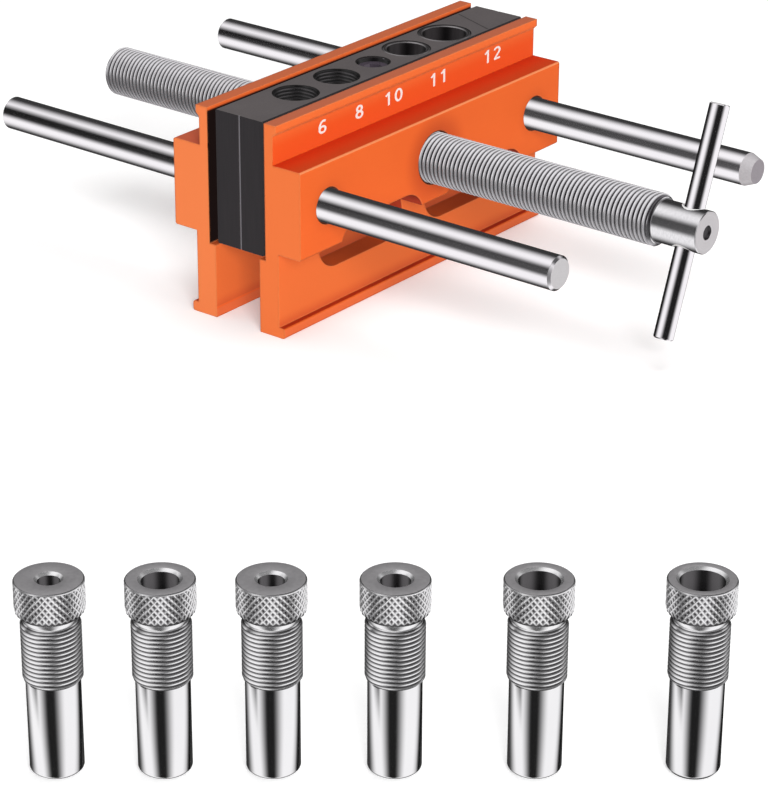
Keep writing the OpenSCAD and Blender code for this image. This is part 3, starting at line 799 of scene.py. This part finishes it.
FLOOR_REACH = 6
floor_mesh = bpy.data.meshes.new("floor")
floor_mesh.from_pydata([(FLOOR_REACH * i, FLOOR_REACH * j, floor_z)
                        for i, j in ((-1, -1), (1, -1), (1, 1), (-1, 1))], [], [(0, 1, 2, 3)])
floor = bpy.data.objects.new("floor", floor_mesh)
bpy.context.scene.collection.objects.link(floor)
paper = Finish(bpy.data.materials.new("floor_paper"))
x, y, z = paper.place()
far_off = ((x ** 2 + y ** 2) ** 0.5).rise(0.5, 1.5)
seen = paper.node("LightPath", output="Is Camera Ray")
paper_white = paper.node("BsdfDiffuse", sockets={"Color": (0.86, 0.86, 0.86, 1)})
paper_glow = paper.node("Emission", sockets={
    "Color": paper.mix(seen, tint(0, 0, 0), paper.mix(
        far_off, tint(144, 144, 144), tint(255, 255, 255))), "Strength": 1.0})
paper.end(paper.node("AddShader", sockets={0: paper_white, 1: paper_glow}))
floor_mesh.materials.append(paper.owner)

# A tent is painted by the way that it lies in. round_about is that way's angle from the left
# side, with the front at -90, and upwards is its angle above the floor, both in degrees.
TENT_RADIUS, TENT_BANDS, DEGREES = 8 / MM, 24, math.degrees(1)
BEHIND, OVERHEAD = (0.776, 0.606, -0.174), (0.25, -0.35, 0.9)
tent_arc = [math.pi * i / TENT_BANDS for i in range(TENT_BANDS + 1)]
tent_points, tent_faces = turned(
    [(-TENT_RADIUS * math.cos(t), TENT_RADIUS * math.sin(t) if 0 < t < math.pi else 0)
     for t in tent_arc], (0, 0, 0), (0, 0, 1), 48)
for name, wide, for_bar in (("tent", 1.0, False), ("bar_tent", 1.02, True)):
    tent_mesh = bpy.data.meshes.new(name)
    tent_mesh.from_pydata([point * wide for point in tent_points], [], tent_faces)
    tent = bpy.data.objects.new(name, tent_mesh)
    bpy.context.scene.collection.objects.link(tent)
    cloth = Finish(bpy.data.materials.new(name + "_cloth"))
    way = cloth.node("VectorMath", {"operation": "NORMALIZE"},
                     {0: cloth.node("TexCoord", output="Object")})
    x = cloth.node("SeparateXYZ", sockets={0: way})
    y, z = x.out("Y"), x.out("Z")
    round_about = DEGREES * y.maths("ARCTAN2", y, -1 * x)
    upwards = DEGREES * z.maths("ARCSINE", z)
    if for_bar:
        front = (round_about + 112).rise(0, 42) * (20 - round_about).rise(0, 48)
        far_side = round_about.rise(35, 82) * upwards.rise(56, 26)
        low_side = upwards.rise(6, -14) * upwards.rise(-80, -44) * round_about.rise(-10, 15)
        high_side = upwards.rise(28, 42) * round_about.rise(15, -15)
        pale = (1 - 0.985 * front) * (1 - 0.97 * far_side)
        pale = pale * (1 - 0.75 * low_side) * (1 - 0.85 * high_side)
    else:
        for_rods = (upwards - 0.45 * round_about + 42).rise(0, 30) * (56 - upwards).rise(0, 30)
        for_rods = for_rods * round_about.rise(14, 29)
        for_rods = for_rods * (round_about - 0.3 * upwards).rise(66, 50)
        for_rods = for_rods * (0.93 + 0.06 * round_about.rise(34, 44))
        for_bushings = (round_about + 88).rise(0, 48) * (24 - round_about).rise(0, 44)
        for_bushings = for_bushings * (70 - upwards).rise(0, 30) * 0.985
        behind, overhead = [cloth.node("VectorMath", {"operation": "DOT_PRODUCT"},
                                       {0: way, 1: towards}, "Value")
                            for towards in (BEHIND, OVERHEAD)]
        beside = (-1 * round_about).rise(147, 168) * upwards.rise(15, -5)
        pale = (1 - for_rods) * (1 - for_bushings) * (1 - 0.96 * behind.rise(0.04, 0.72))
        pale = pale * (1 - 0.9 * overhead.rise(0.72, 0.93)) * (1 - 0.93 * beside)
    glow = cloth.node("Emission", sockets={
        "Color": cloth.mix(pale, tint(0, 0, 0), tint(255, 255, 255)), "Strength": 1.1})
    if not for_bar:
        glow = cloth.node("AddShader", sockets={0: glow, 1: cloth.node("BsdfTransparent")})
    cloth.end(glow)
    cloth.owner.cycles.emission_sampling = "NONE"
    tent_mesh.materials.append(cloth.owner)
    lit = bpy.data.collections.new(name + "_lights")
    for made in (bar, screw):
        lit.objects.link(made)
    for member in lit.collection_objects:
        member.light_linking.link_state = "INCLUDE" if for_bar else "EXCLUDE"
    tent.light_linking.receiver_collection = lit
    tent.visible_camera = tent.visible_diffuse = tent.visible_shadow = False
    tent.visible_transmission = tent.visible_volume_scatter = False

# No piece shows in another one's polish, so the steel keeps clean bands of light.
for made in bpy.data.objects:
    if made.type == "MESH" and not made.name.endswith("tent"):
        made.visible_glossy = False

for name, place, wide, watts in (("key", (-1.5, -1.7, 1.05), 1.1, 44.0),
                                 ("overhead", (0.3, -0.2, 2.2), 1.6, 20.0)):
    lamp_data = bpy.data.lights.new(name, "AREA")
    lamp_data.shape, lamp_data.size, lamp_data.energy = "DISK", wide, watts
    lamp = bpy.data.objects.new(name, lamp_data)
    lamp.location = place
    lamp.rotation_euler = (-Vector(place)).to_track_quat("-Z", "Y").to_euler()
    lamp.visible_glossy = False
    bpy.context.scene.collection.objects.link(lamp)

world = bpy.data.worlds.new("studio_air")
bpy.context.scene.world = world
air = Finish(world)
rays = air.node("LightPath", output="Is Camera Ray")
shown = rays + rays.out("Is Glossy Ray") + rays.out("Is Transmission Ray")
back = air.node("Background", sockets={
    "Color": air.mix(shown > 0.5, (0.42, 0.42, 0.42, 1), (1, 1, 1, 1)), "Strength": 1.0})
air.end(back, "OutputWorld")
bpy.context.scene.view_settings.view_transform = "Standard"
